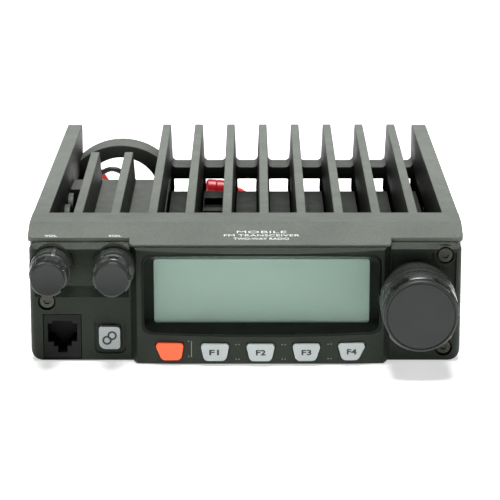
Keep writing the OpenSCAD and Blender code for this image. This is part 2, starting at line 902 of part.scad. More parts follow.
module small_knob(x, turned) {
    back = collar_front - knob_gap;
    in_place()
        color("dimgray")
            translate([x, 0, small_z])
                rotate([0, turned, 0]) {
                    knob_shape(small_knob_r, small_knob_r - 0.5, back, 8.6, small_knob_reach,
                        5.9, 15);
                    block(-pointer_w / 2, pointer_w / 2, -12.5, back,
                        small_knob_r - 1, small_knob_r + 0.3);
                }
}

module volume_knob() { small_knob(volume_x, volume_turn); }
module squelch_knob() { small_knob(squelch_x, squelch_turn); }

module tuning_knob() {
    back = tuning_collar_front - knob_gap;
    in_place()
        color("dimgray")
            translate([tuning_x, 0, tuning_z])
                difference() {
                    knob_shape(tuning_knob_r, tuning_knob_r - 0.3, back, 11.5, tuning_knob_reach,
                        11.6, 20);
                    rod_y(0, 0, tuning_knob_r - 1.9, -tuning_knob_reach - 1,
                        -tuning_knob_reach + 1.4);
                }
}

module tuning_knob_cap() {
    in_place()
        color("slategray")
            rod_y(tuning_x, tuning_z, tuning_knob_r - 1.95, -tuning_knob_reach + 0.2,
                -tuning_knob_reach + 1.4);
}

module shaft(x, z, tip) {
    in_place()
        color("silver")
            rod_y(x, z, shaft_r, -tip, board_y - 2);
}

module volume_shaft() { shaft(volume_x, small_z, 15); }
module squelch_shaft() { shaft(squelch_x, small_z, 15); }
module tuning_shaft() { shaft(tuning_x, tuning_z, 20); }

// A rotary control: its case on the board and its threaded bushing through the panel
module rotary(x, z, w, h, tone) {
    in_place()
        color(tone)
            difference() {
                union() {
                    block(x - w / 2, x + w / 2, sunk_y + panel_wall + 0.7, board_y,
                        z - h / 2, z + h / 2);
                    rod_y(x, z, bushing_r, -3.4, board_y - 2);
                }
                rod_y(x, z, shaft_r + shaft_fit, -4, board_y - 1.8);
            }
}

module volume_pot() { rotary(volume_x, small_z, 10, 9.6, "darkolivegreen"); }
module squelch_pot() { rotary(squelch_x, small_z, 10, 9.6, "darkolivegreen"); }
module tuning_encoder() { rotary(tuning_x, tuning_z, 13, 13, "darkslateblue"); }

module control_nuts() {
    in_place()
        color("silver")
            for (p = [[volume_x, small_z], [squelch_x, small_z], [tuning_x, tuning_z]])
                translate([p.x, 0, p.y])
                    along_y(sunk_y - 2.1, sunk_y - 0.1)
                        difference() {
                            circle(r = 5.4, $fn = 6);
                            circle(r = bushing_r + 0.02);
                        }
}

// ---------------------------------------------------------------- microphone socket

mouth_w = 10.8;
mouth_top = 4.9;                     // heights of the opening, from the socket's middle
mouth_low = -2.1;

module mic_opening() {
    polygon([
        [-mouth_w / 2, mouth_low], [-3.3, mouth_low], [-3.3, mouth_low - 1.7],
        [-1.7, mouth_low - 1.7],
        [-1.7, mouth_low - 4.1], [1.7, mouth_low - 4.1], [1.7, mouth_low - 1.7],
        [3.3, mouth_low - 1.7], [3.3, mouth_low], [mouth_w / 2, mouth_low], [mouth_w / 2, mouth_top],
        [3.6, mouth_top], [3.6, mouth_top + 1], [-3.6, mouth_top + 1], [-3.6, mouth_top],
        [-mouth_w / 2, mouth_top]
    ]);
}

module mic_jack() {
    in_place()
        color("darkslategray")
            difference() {
                block(jack_x - jack_w / 2, jack_x + jack_w / 2, jack_front, jack_back,
                    jack_z - jack_h / 2, jack_z + jack_h / 2);
                translate([jack_x, 0, jack_z])
                    along_y(-1, jack_back - 1.5)
                        mic_opening();
            }
}

module mic_jack_contacts() {
    contacts = 6;
    pitch = 1.02;
    contact_depth = 6;
    in_place()
        color("gold")
            for (i = [0:contacts - 1])
                rod_y(jack_x + (i - (contacts - 1) / 2) * pitch, jack_z + mouth_top + 0.5, 0.25,
                    jack_front + contact_depth, jack_back - 1.5);
}

// ---------------------------------------------------------------- electronics bay

module_screw_x = [module_x - module_w / 2 + 4, module_x + module_w / 2 - 4];

module main_board() {
    in_place()
        color("darkgreen")
            difference() {
                block(board_x0, board_x1, board_y0, board_y1, main_board_z, main_board_z + board_t);
                for (p = main_screw_at)
                    rod_z(p.x, p.y, screw_bore_r + 0.2, 0, 20);
                for (p = cover_screw_at)
                    rod_z(p.x, p.y, 4.1, 0, 20);
            }
}

module main_board_screws() {
    in_place()
        color("silver")
            for (p = main_screw_at) {
                rod_z(p.x, p.y, 2.7, main_board_z - 1.8, main_board_z);
                rod_z(p.x, p.y, screw_r, main_board_z - 1, main_board_z + 7);
            }
}

module power_module() {
    in_place()
        color("darkgray")
            difference() {
                union() {
                    block(module_x - module_w / 2, module_x + module_w / 2,
                        module_y - 5, module_y + 5, bay_z - 2.4, bay_z - 0.1);
                    block(module_x - module_w / 2 + 8, module_x + module_w / 2 - 8,
                        module_y - module_d / 2, module_y + module_d / 2, bay_z - 9, bay_z - 0.1);
                }
                for (x = module_screw_x)
                    rod_z(x, module_y, screw_bore_r + 0.1, 0, bay_z + 1);
            }
}

module power_module_screws() {
    in_place()
        color("silver")
            for (x = module_screw_x) {
                rod_z(x, module_y, 2.7, bay_z - 4.4, bay_z - 2.4);
                rod_z(x, module_y, screw_r, bay_z - 4, low_floor_z - 1.8);
            }
}

module shield_can() {
    x = 46;
    y = 62;
    in_place()
        color("silver")
            difference() {
                block(x - 17, x + 17, y - 13, y + 13, main_board_z + board_t, main_board_z + 9);
                block(x - 16.6, x + 16.6, y - 12.6, y + 12.6, main_board_z, main_board_z + 8.6);
            }
}

module filter_coils() {
    coils = 4;
    in_place()
        color("orange")
            for (i = [0:coils - 1])
                translate([-26 + 9 * i, 137.5, main_board_z + board_t + 3])
                    rotate([90, 0, 0])
                        difference() {
                            cylinder(h = 8, r = 3, center = true);
                            cylinder(h = 9, r = 2, center = true);
                        }
}

module capacitors() {
    in_place()
        color("midnightblue")
            for (p = [[2, 96, 5, 12], [16, 96, 5, 12], [31, 94, 4, 9]])
                rod_z(p[0], p[1], p[2], main_board_z + board_t, main_board_z + board_t + p[3]);
}

module circuit_chips() {
    in_place()
        color("black")
            for (p = [[-12, 62, 7], [10, 58, 7], [52, 96, 5], [-16, 92, 5], [14, 36, 5]])
                block(p[0] - p[2], p[0] + p[2], p[1] - p[2], p[1] + p[2],
                    main_board_z + board_t, main_board_z + board_t + 1.6);
}

module ribbon_cable() {
    ribbon_w = 18;
    t = 0.5;
    top = main_board_z + board_t;
    in_place()
        color("lightgray")
            along_x(-ribbon_w / 2, ribbon_w / 2)
                polygon([
                    [board_y + board_t, 14], [17, 14], [23, top + 3], [27, top + 3], [27, top],
                    [28.5, top], [28.5, top + 3 + t], [23.3, top + 3 + t], [17.3, 14 + t],
                    [board_y + board_t, 14 + t]
                ]);
}

// ---------------------------------------------------------------- speaker

speaker_z = sheet_t + 0.1;

module speaker_frame() {
    in_place()
        color("gray")
            translate([speaker_x, speaker_y, speaker_z])
                rotate_extrude()
                    polygon([
                        [speaker_r - 2.5, 0], [speaker_r, 0], [speaker_r, 2], [9, 10.5],
                        [7.5, 10.5], [7.5, 9.5], [speaker_r - 2.5, 1.6]
                    ]);
}

module speaker_cone() {
    in_place()
        color("black")
            translate([speaker_x, speaker_y, speaker_z])
                rotate_extrude()
                    polygon([
                        [0, 6.2], [4.5, 7], [speaker_r - 4, 0.7], [speaker_r - 2.6, 0.2],
                        [speaker_r - 2.6, 0.7], [speaker_r - 4, 1.3], [4.6, 7.8], [0, 7]
                    ]);
}

module speaker_magnet() {
    in_place()
        color("silver")
            rod_z(speaker_x, speaker_y, 11.5, speaker_z + 10.6, speaker_z + 19);
}

// ---------------------------------------------------------------- rear connectors

module antenna_screw_places() {
    for (i = [-1, 1], j = [-1, 1])
        translate([antenna_x + i * antenna_pitch / 2, 0, antenna_z + j * antenna_pitch / 2])
            children();
}

module antenna_socket() {
    back = left_rear_y + 0.1;
    in_place()
        color("silver")
            difference() {
                union() {
                    translate([antenna_x, 0, antenna_z])
                        along_y(back, back + 2)
                            rounded_box(flange_w, flange_w, 2);
                    rod_y(antenna_x, antenna_z, barrel_r, back, back + 12);
                    rod_y(antenna_x, antenna_z, 6.2, back - 7, back + 1);
                }
                rod_y(antenna_x, antenna_z, 5.9, back + 3, back + 13);
                rod_y(antenna_x, antenna_z, 4.6, back - 8, back + 13);
                antenna_screw_places()
                    rod_y(0, 0, screw_bore_r + 0.1, back - 1, back + 3);
            }
}

module antenna_insulator() {
    back = left_rear_y + 0.1;
    in_place()
        color("white")
            difference() {
                union() {
                    rod_y(antenna_x, antenna_z, 4.55, back - 6.5, back + 4);
                    rod_y(antenna_x, antenna_z, 5.8, back + 3.1, back + 8);
                }
                rod_y(antenna_x, antenna_z, 2.65, back - 8, back + 9);
            }
}

module antenna_contact() {
    back = left_rear_y + 0.1;
    in_place()
        color("gold")
            difference() {
                rod_y(antenna_x, antenna_z, 2.6, back - 9.5, back + 8);
                rod_y(antenna_x, antenna_z, 2.03, back - 4, back + 9);
            }
}

module antenna_socket_screws() {
    back = left_rear_y + 2.1;
    in_place()
        color("silver")
            antenna_screw_places()
                difference() {
                    union() {
                        rod_y(0, 0, 2.6, back, back + 1.8);
                        rod_y(0, 0, screw_r, back - 5.8, back + 1);
                    }
                    translate([0, back + 1.8, 0])
                        cube([3, 1.2, 0.7], center = true);
                    translate([0, back + 1.8, 0])
                        cube([0.7, 1.2, 3], center = true);
                }
}

module external_speaker_jack() {
    in_place()
        color("black")
            difference() {
                union() {
                    translate([ext_jack_x, 0, ext_jack_z])
                        along_y(rear_y - 17, rear_y)
                            square(ext_jack_w, center = true);
                    rod_y(ext_jack_x, ext_jack_z, 3.4, rear_y - 1, rear_y + 1.2);
                }
                rod_y(ext_jack_x, ext_jack_z, ext_jack_r, rear_y - 14, rear_y + 2);
            }
}

// Rubber grommet that both supply wires start from
module dc_grommet() {
    inside_y = rear_y - rear_wall_t;
    in_place()
        color("black")
            union() {
                rod_y(grommet_x, grommet_z, grommet_r - 0.1, inside_y - 0.2, rear_y + 0.5);
                rod_y(grommet_x, grommet_z, grommet_r + 1.4, rear_y + 0.1, rear_y + 2.5);
                rod_y(grommet_x, grommet_z, grommet_r + 1.4, inside_y - 2, inside_y - 0.1);
            }
}

// ---------------------------------------------------------------- supply lead

WIRE_SIDES = 8;
RING_GAP = 7;

// A smooth curve through the points, one piece between each two of them
function spline_point(a, b, c, d, t) =
    0.5 * ((2 * b) + (c - a) * t + (2 * a - 5 * b + 4 * c - d) * t * t
        + (3 * b - a - 3 * c + d) * t * t * t);
function spline(p) = [for (i = [0:len(p) - 2])
    let (a = p[max(i - 1, 0)], b = p[i], c = p[i + 1], d = p[min(i + 2, len(p) - 1)],
        n = max(1, round(norm(c - b) / RING_GAP)))
    each [for (j = [0:n - 1]) spline_point(a, b, c, d, j / n)]];
function path(p) = concat(spline(p), [p[len(p) - 1]]);
function tangent(q, i) = unit(q[min(i + 1, len(q) - 1)] - q[max(i - 1, 0)]);
function ring(q, i, r) =
    let (t = tangent(q, i), s = unit(cross(t, [0, 0, 1])), u = cross(s, t))
    [for (k = [0:WIRE_SIDES - 1]) let (w = 360 * k / WIRE_SIDES)
        q[i] + r * (cos(w) * s + sin(w) * u)];

module swept_wire(route, r) {
    q = path(route);
    rings = len(q);
    polyhedron(
        points = [for (i = [0:rings - 1]) each ring(q, i, r)],
        faces = concat(
            [[for (k = [0:WIRE_SIDES - 1]) k]],
            [for (i = [0:rings - 2], k = [0:WIRE_SIDES - 1])
                let (a = i * WIRE_SIDES, b = a + WIRE_SIDES, m = (k + 1) % WIRE_SIDES)
                [a + k, b + k, b + m, a + m]],
            [[for (k = [WIRE_SIDES - 1:-1:0]) (rings - 1) * WIRE_SIDES + k]]
        )
    );
}

module dc_wire_red() {
    in_place()
        color("red")
            swept_wire(red_route, wire_d / 2);
}

module dc_wire_black() {
    in_place()
        color("black")
            swept_wire(black_route, wire_d / 2);
}

// In-line fuse holder, in two halves that screw together round the red wire
module fuse_holder() {
    bore_r = wire_d / 2 + 0.5;
    along = fuse_to - fuse_from;
    l = norm(along);
    in_place()
        color("firebrick")
            translate(fuse_from)
                rotate([0, acos(along.z / l), atan2(along.y, along.x)])
                    rotate_extrude()
                        polygon([
                            [bore_r, 0], [fuse_r - 1, 0], [fuse_r, 1], [fuse_r, l / 2 - 0.3],
                            [fuse_r - 0.4, l / 2], [fuse_r, l / 2 + 0.3], [fuse_r, l - 1],
                            [fuse_r - 1, l], [bore_r, l]
                        ]);
}

// Two-way plug that lies on the ground behind the case
module dc_plug() {
    hood = 9;
    wall = 1.3;
    in_place()
        color("white")
            translate(plug_at)
                difference() {
                    union() {
                        block(0, plug_l, -plug_w / 2, plug_w / 2, -plug_h / 2, plug_h / 2);
                        block(plug_l / 2, plug_l - 2, -2.5, 2.5, plug_h / 2 - 0.1, plug_h / 2 + 1.8);
                    }
                    block(plug_l - hood, plug_l + 1, wall - plug_w / 2, -0.7,
                        wall - plug_h / 2, plug_h / 2 - wall);
                    block(plug_l - hood, plug_l + 1, 0.7, plug_w / 2 - wall,
                        wall - plug_h / 2, plug_h / 2 - wall);
                }
}

heatsink_chassis();
bottom_cover();
bottom_cover_screws();
front_panel();
panel_screws();
display_bezel();
display_window();
lcd_glass();
lcd_backlight();
lcd_frame();
control_board();
control_board_screws();
key_switches();
power_key();
function_key_1();
function_key_2();
function_key_3();
function_key_4();
link_key();
power_key_plunger();
function_key_1_plunger();
function_key_2_plunger();
function_key_3_plunger();
function_key_4_plunger();
link_key_plunger();
volume_knob();
volume_shaft();
volume_pot();
squelch_knob();
squelch_shaft();
squelch_pot();
tuning_knob();
tuning_knob_cap();
tuning_shaft();
tuning_encoder();
control_nuts();
mic_jack();
mic_jack_contacts();
main_board();
main_board_screws();
power_module();
power_module_screws();
shield_can();
filter_coils();
capacitors();
circuit_chips();
ribbon_cable();
speaker_frame();
speaker_cone();
speaker_magnet();
antenna_socket();
antenna_insulator();
antenna_contact();
antenna_socket_screws();
external_speaker_jack();
dc_grommet();
dc_wire_red();
dc_wire_black();
fuse_holder();
dc_plug();
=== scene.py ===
"""Mobile transceiver: materials, knobs, markings, wires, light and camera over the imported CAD."""
import json
import math

import bmesh
import bpy
from mathutils import Euler, Matrix, Vector


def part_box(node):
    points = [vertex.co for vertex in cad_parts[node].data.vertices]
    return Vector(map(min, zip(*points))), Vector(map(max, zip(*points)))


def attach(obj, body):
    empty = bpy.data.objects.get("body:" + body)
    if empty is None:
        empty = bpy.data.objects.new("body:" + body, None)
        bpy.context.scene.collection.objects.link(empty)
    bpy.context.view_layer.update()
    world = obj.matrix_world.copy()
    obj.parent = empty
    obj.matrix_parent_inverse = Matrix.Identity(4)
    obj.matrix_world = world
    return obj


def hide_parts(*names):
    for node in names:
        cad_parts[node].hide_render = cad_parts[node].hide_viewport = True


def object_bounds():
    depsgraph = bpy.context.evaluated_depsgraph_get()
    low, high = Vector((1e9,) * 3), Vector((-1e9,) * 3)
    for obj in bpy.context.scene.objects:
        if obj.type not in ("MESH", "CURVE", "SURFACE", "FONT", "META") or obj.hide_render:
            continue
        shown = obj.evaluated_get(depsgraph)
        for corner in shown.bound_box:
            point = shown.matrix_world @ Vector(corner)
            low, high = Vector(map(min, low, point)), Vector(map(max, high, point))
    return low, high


MM = 0.001
MICRON = 0.000001

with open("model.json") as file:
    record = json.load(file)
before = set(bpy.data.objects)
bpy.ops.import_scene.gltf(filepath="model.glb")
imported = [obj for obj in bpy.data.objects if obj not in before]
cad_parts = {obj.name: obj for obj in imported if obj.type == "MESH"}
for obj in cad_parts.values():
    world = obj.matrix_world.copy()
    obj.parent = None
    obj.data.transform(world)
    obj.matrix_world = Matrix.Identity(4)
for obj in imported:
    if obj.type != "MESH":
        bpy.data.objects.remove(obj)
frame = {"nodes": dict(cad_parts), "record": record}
nodes = frame["nodes"]
cad_low, cad_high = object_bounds()


def mm(x, y, z):
    """A point given in millimetres in the row frame, in metres."""
    return Vector((x, y, z)) * MM


def middle(node):
    """The middle of a CAD node's box."""
    low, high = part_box(node)
    return (low + high) / 2


# ---------------------------------------------------------------- camera

CAMERA_AT = mm(3.5, -929.9, 272.8)
PITCH = 15.16  # degrees below level
YAW = 0.12
ROLL = -0.05
LENS = 173.04  # mm
SENSOR = 36  # mm across


def make_camera():
    data = bpy.data.cameras.new("camera")
    data.sensor_width = SENSOR
    data.lens = LENS
    data.clip_start = 0.1
    data.clip_end = 20
    camera = bpy.data.objects.new("camera", data)
    bpy.context.scene.collection.objects.link(camera)
    turn = (Matrix.Rotation(math.radians(YAW), 4, "Z")
            @ Matrix.Rotation(math.radians(90 - PITCH), 4, "X")
            @ Matrix.Rotation(math.radians(ROLL), 4, "Z"))
    camera.matrix_world = Matrix.Translation(CAMERA_AT) @ turn
    bpy.context.scene.camera = camera


make_camera()
bpy.context.scene.view_settings.view_transform = "Standard"

# ---------------------------------------------------------------- materials


class Shader:
    """A node material made of noise-driven colour, roughness and bump."""

    def __init__(self, name):
        self.material = bpy.data.materials.new(name)
        self.material.use_nodes = True
        self.tree = self.material.node_tree
        self.tree.nodes.clear()
        self.surface = self.add("ShaderNodeBsdfPrincipled")
        output = self.add("ShaderNodeOutputMaterial")
        self.link(self.surface.outputs["BSDF"], output.inputs["Surface"])
        self.place = self.add("ShaderNodeTexCoord").outputs["Object"]

    def add(self, kind, **settings):
        node = self.tree.nodes.new(kind)
        for key, value in settings.items():
            setattr(node, key, value)
        return node

    def link(self, start, end):
        self.tree.links.new(start, end)

    def stretched(self, scale):
        """The object's own coordinates, times a scale for each axis."""
        mapping = self.add("ShaderNodeMapping")
        mapping.inputs["Scale"].default_value = scale
        self.link(self.place, mapping.inputs["Vector"])
        return mapping.outputs["Vector"]

    def separated(self, vector):
        parts = self.add("ShaderNodeSeparateXYZ")
        self.link(vector, parts.inputs["Vector"])
        return parts.outputs

    def noise(self, scale, detail=4, vector=None):
        """Noise of that many cells per metre."""
        texture = self.add("ShaderNodeTexNoise")
        texture.inputs["Scale"].default_value = scale
        texture.inputs["Detail"].default_value = detail
        self.link(vector or self.place, texture.inputs["Vector"])
        return texture.outputs["Fac"]

    def ramp(self, value, stops):
        """A colour for each value; stops are pairs of a position and a colour."""
        ramp = self.add("ShaderNodeValToRGB")
        elements = ramp.color_ramp.elements
        while len(elements) < len(stops):
            elements.new(0.5)
        for element, (position, colour) in zip(elements, stops):
            element.position = position
            element.color = (*colour, 1)
        self.link(value, ramp.inputs["Fac"])
        return ramp.outputs["Color"]

    def remap(self, value, low, high, from_low=0.3, from_high=0.7):
        """The value's stretch from from_low to from_high becomes low to high."""
        node = self.add("ShaderNodeMapRange")
        node.inputs["From Min"].default_value = from_low
        node.inputs["From Max"].default_value = from_high
        node.inputs["To Min"].default_value = low
        node.inputs["To Max"].default_value = high
        self.link(value, node.inputs["Value"])
        return node.outputs["Result"]

    def maths(self, operation, a, b=None):
        """A calculation with one or two values."""
        node = self.add("ShaderNodeMath", operation=operation)
        self.link(a, node.inputs[0])
        if b is not None:
            self.link(b, node.inputs[1])
        return node.outputs["Value"]

    def blend(self, value, low, high):
        """Two colours, mixed by noise."""
        return self.ramp(value, [(0.35, low), (0.65, high)])

    def colour(self, value, low, high):
        self.link(self.blend(value, low, high), self.surface.inputs["Base Color"])

    def roughness(self, value, low, high):
        self.link(self.remap(value, low, high), self.surface.inputs["Roughness"])

    def bump(self, value, height, strength=1.0, edge=0.0):
        """Grain of a height in micrometres; with an edge radius, edges catch light as if rounded."""
        bump = self.add("ShaderNodeBump")
        if edge:
            rounding = self.add("ShaderNodeBevel", samples=6)
            rounding.inputs["Radius"].default_value = edge
            self.link(rounding.outputs["Normal"], bump.inputs["Normal"])
        bump.inputs["Distance"].default_value = height * MICRON
        bump.inputs["Strength"].default_value = strength
        self.link(value, bump.inputs["Height"])
        self.link(bump.outputs["Normal"], self.surface.inputs["Normal"])

    def set(self, **values):
        """Plain values for the shader's own sockets, with _ for a space in their names."""
        for key, value in values.items():
            self.surface.inputs[key.replace("_", " ")].default_value = value


# Noise cells per metre: drift of tone, drift of roughness, grain of the casting
DRIFT_CELLS = 45
SHEEN_CELLS = 150
CAST_CELLS = 1500


def scaled(colour, factor):
    return tuple(min(1.0, c * factor) for c in colour)


def grained(name, base, spread, rough, grain, height, specular=0.5, tint=(1, 1, 1)):
    """Paint or plastic.

    The tone drifts by the share spread of the base colour, and the roughness between the two
    values of rough. The grain has that many cells a metre, and its height is in micrometres.
    """
    s = Shader(name)
    s.colour(s.noise(DRIFT_CELLS, 5), scaled(base, 1 - spread), scaled(base, 1 + spread))
    s.roughness(s.noise(SHEEN_CELLS, 5), rough[0], rough[1])
    s.bump(s.noise(grain, 3), height)
    s.set(Specular_IOR_Level=specular, Specular_Tint=(*tint, 1))
    return s.material


def brushed(name, base, rough, scale=(9000, 300, 9000)):
    """Bare metal; the scale gives cells a metre on each axis, so lines follow the lowest."""
    s = Shader(name)
    lines = s.noise(1, 3, s.stretched(scale))
    s.colour(lines, scaled(base, 0.8), scaled(base, 1.1))
    s.roughness(lines, rough[0], rough[1])
    s.bump(lines, 20, 0.5)
    s.set(Metallic=1.0)
    return s.material


def casting_shade(s):
    """Painted shade and light for the casting's colour: dark low between the fins and on their
    upright sides, 1 outside them, and above 1 towards the rear.
    """
    geometry = s.add("ShaderNodeNewGeometry")
    at = s.separated(geometry.outputs["Position"])
    facing = s.separated(geometry.outputs["True Normal"])
    beside = s.remap(s.maths("ABSOLUTE", at["X"]), 0, 1, *SIDE_WALL_X)
    before = s.remap(at["Y"], 1, 0, *BAND_END_Y)
    outside = s.maths("MAXIMUM", beside, before)
    height = s.remap(at["Z"], DEEP_SHADE, 1, *FIN_Z)
    level = s.remap(facing["Z"], 0, 1, *LEVEL_NORMAL_Z)
    side = s.maths("MAXIMUM", level, s.remap(height, 0, SIDE_SHADE, 0.1, 1))
    by_height = s.maths("MAXIMUM", height, outside)
    by_side = s.maths("MAXIMUM", side, outside)
    # Painted light: the casting grows paler towards the rear
    rear = s.remap(at["Y"], 1, REAR_PAINTED_LIGHT, *REAR_Y)
    return s.maths("MULTIPLY", s.maths("MULTIPLY", by_height, by_side), rear)


def cast_paint(name, base):
    """Speckled casting paint, with painted shade low down between the fins and on their sides, and
    painted light towards the rear.
    """
    s = Shader(name)
    speckle = s.remap(s.noise(CAST_CELLS, 3), *SPECKLE, 0.35, 0.65)
    # Painted shade, times the casting's speckle
    shade = s.maths("MULTIPLY", casting_shade(s), speckle)
    mix = s.add("ShaderNodeMix", data_type="RGBA", blend_type="MULTIPLY")
    mix.inputs["Factor"].default_value = 1
    tone = s.blend(s.noise(DRIFT_CELLS, 5), scaled(base, 0.93), scaled(base, 1.07))
    s.link(tone, mix.inputs["A"])
    s.link(shade, mix.inputs["B"])
    s.link(mix.outputs["Result"], s.surface.inputs["Base Color"])
    s.roughness(s.noise(SHEEN_CELLS, 5), 0.46, 0.58)
    s.bump(s.noise(CAST_CELLS, 3), CAST_GRAIN, edge=CAST_EDGE)
    # The specular level drops where the painted shade is dark
    specular = s.remap(shade, 0, CAST_SPECULAR, DEEP_SHADE, 0.5)
    s.link(specular, s.surface.inputs["Specular IOR Level"])
    return s.material


def clear(name, tint, rough):
    """Thin clear plastic that lets nearly all light through."""
    s = Shader(name)
    s.colour(s.noise(30), scaled(tint, 0.97), tint)
    s.roughness(s.noise(400), rough, rough * 1.6)
    s.set(IOR=1.3, Alpha=0.10)
    return s.material


def printed_board(name):
    """Green solder mask with fine copper tracks showing through."""
    s = Shader(name)
    tracks = s.add("ShaderNodeTexBrick")
    tracks.inputs["Scale"].default_value = 260
    tracks.inputs["Mortar Size"].default_value = 0.03
    tracks.inputs["Color1"].default_value = (0.012, 0.09, 0.035, 1)
    tracks.inputs["Color2"].default_value = (0.016, 0.12, 0.05, 1)
    tracks.inputs["Mortar"].default_value = (0.04, 0.22, 0.09, 1)
    s.link(s.place, tracks.inputs["Vector"])
    s.link(tracks.outputs["Color"], s.surface.inputs["Base Color"])
    s.roughness(s.noise(300), 0.3, 0.45)
    s.bump(tracks.outputs["Fac"], 30, 0.6)
    return s.material


FIN_Z = (24 * MM, 49 * MM)  # the painted shade on the casting fades from dark to none between these heights
SIDE_WALL_X = (73.5 * MM, 75.5 * MM)  # beyond these distances from the middle there is no painted shade
BAND_END_Y = (-54 * MM, -53 * MM)  # the painted shade starts behind the top band
REAR_Y = (-54 * MM, 10 * MM)  # painted light: the casting's colour grows paler towards the rear over this stretch
LEVEL_NORMAL_Z = (0.1, 0.6)  # from an upright face to a level one
# Painted shade: its darkest value deep between the fins, and the share kept on upright sides
DEEP_SHADE = 0.08
SIDE_SHADE = 0.55
# How much paler the painted light makes the rear of the casting
REAR_PAINTED_LIGHT = 1.3
SPECKLE = (0.88, 1.12)
CAST_SPECULAR = 0.3
CAST_GRAIN = 120  # micrometres
CAST_EDGE = 0.8 * MM

CASTING = cast_paint("cast_paint", (0.108, 0.118, 0.104))
PANEL = grained("panel_plastic", (0.009, 0.012, 0.008), 0.14, (0.38, 0.50), 2200, 180, 0.28,
                tint=(0.91, 1.0, 0.88))
KNOB = grained("knob_plastic", (0.026, 0.028, 0.026), 0.15, (0.24, 0.32), 2800, 15, 0.5)
CAP = grained("knob_cap", (0.018, 0.021, 0.019), 0.08, (0.42, 0.52), 3000, 30, 0.35)
GLOSS = grained("bezel_plastic", (0.003, 0.004, 0.0025), 0.15, (0.16, 0.24), 500, 4, 0.12)
BLACK = grained("black_plastic", (0.010, 0.011, 0.010), 0.15, (0.40, 0.55), 2500, 30, 0.35)
SHEET = grained("cover_paint", (0.030, 0.031, 0.030), 0.12, (0.45, 0.60), 1800, 40)
KEY = grained("grey_key", (0.39, 0.43, 0.425), 0.04, (0.38, 0.48), 2500, 10, 0.4)
ORANGE = grained("orange_key", (1.0, 0.125, 0.036), 0.05, (0.36, 0.46), 2500, 10, 0.4)
LCD = grained("display", (0.24, 0.395, 0.31), 0.02, (0.45, 0.50), 900, 0.1, 0.2)
WINDOW = clear("display_window", (0.80, 0.88, 0.84), 0.12)
WHITE = grained("white_plastic", (0.72, 0.72, 0.68), 0.05, (0.35, 0.45), 1500, 20)
INK = grained("white_ink", (0.80, 0.82, 0.80), 0.05, (0.50, 0.60), 6000, 10)
DIM_INK = grained("dim_ink", (0.16, 0.17, 0.16), 0.05, (0.50, 0.60), 6000, 10)
DARK_INK = grained("dark_ink", (0.010, 0.012, 0.012), 0.10, (0.50, 0.60), 6000, 10)
STEEL = brushed("steel", (0.42, 0.38, 0.33), (0.28, 0.45))
SCREW = brushed("screw_steel", (0.055, 0.056, 0.046), (0.30, 0.42), (1500, 1500, 1500))
NICKEL = brushed("nickel", (0.62, 0.60, 0.56), (0.16, 0.30), (700, 700, 700))
BRASS = brushed("brass", (0.34, 0.24, 0.10), (0.35, 0.5))
BLACK_STEEL = brushed("blackened_steel", (0.06, 0.06, 0.06), (0.35, 0.5))
COPPER = brushed("copper", (0.62, 0.27, 0.12), (0.25, 0.4), (500, 4500, 500))
BOARD = printed_board("board")
CERAMIC = grained("ceramic", (0.50, 0.48, 0.43), 0.06, (0.5, 0.6), 1500, 20)
SLEEVE = grained("blue_sleeve", (0.02, 0.03, 0.12), 0.15, (0.25, 0.35), 700, 10)
PAPER = grained("speaker_paper", (0.02, 0.02, 0.02), 0.2, (0.8, 0.95), 1500, 60)
SOCKET = grained("socket_plastic", (0.006, 0.007, 0.006), 0.15, (0.5, 0.6), 2500, 30, 0.2)
RUBBER = grained("black_rubber", (0.016, 0.016, 0.016), 0.15, (0.55, 0.7), 1500, 40)
# A darker red than the wire's: the fuse holder's red with painted shade in it
FUSE_RED = grained("fuse_red", (0.42, 0.008, 0.014), 0.08, (0.30, 0.42), 900, 20)
RED_WIRE = grained("red_insulation", (0.62, 0.035, 0.02), 0.08, (0.34, 0.46), 900, 30)
BLACK_WIRE = grained("black_insulation", (0.014, 0.014, 0.014), 0.15, (0.30, 0.42), 900, 30)
RIBBON = grained("flat_cable", (0.42, 0.42, 0.40), 0.08, (0.4, 0.5), 1200, 30)

SLOT_MATERIAL = {
    "casting": CASTING, "cover_sheet": SHEET, "black_screw": BLACK_STEEL, "steel": STEEL,
    "panel_plastic": PANEL, "knob_plastic": KNOB, "bezel_plastic": GLOSS,
    "window_plastic": WINDOW, "lcd": LCD, "white_plastic": WHITE, "board": BOARD,
    "key_grey": KEY, "key_orange": ORANGE, "black_plastic": BLACK, "nickel": NICKEL,
    "brass": BRASS, "ceramic": CERAMIC, "copper": COPPER, "blue_sleeve": SLEEVE,
    "cone_paper": PAPER, "rubber_black": RUBBER, "wire_red": RED_WIRE,
    "wire_black": BLACK_WIRE, "ribbon": RIBBON,
}
NODE_MATERIAL = {
    "panel_screws": SCREW, "tuning_knob_cap": CAP, "mic_jack": SOCKET, "fuse_holder": FUSE_RED,
}

for part in frame["record"]["subparts"]:
    node = part["node"]
    mesh = nodes[node].data
    mesh.materials.clear()
    mesh.materials.append(NODE_MATERIAL.get(node, SLOT_MATERIAL[part["material_slot"]]))

# ---------------------------------------------------------------- making pieces


def finished(obj, material, body):
    """Gives a new piece its material and the body it moves with."""
    obj.data.materials.append(material)
    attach(obj, body)
    return obj


def linked(name, data):
    obj = bpy.data.objects.new(name, data)
    bpy.context.scene.collection.objects.link(obj)
    return obj


def smooth_by_angle(mesh, degrees):
    """Smooth shading, with edges bent by more than this many degrees kept sharp."""
    for polygon in mesh.polygons:
        polygon.use_smooth = True
    work = bmesh.new()
    work.from_mesh(mesh)
    for edge in work.edges:
        edge.smooth = len(edge.link_faces) == 2 and edge.calc_face_angle(0) < math.radians(degrees)
    work.to_mesh(mesh)
    work.free()


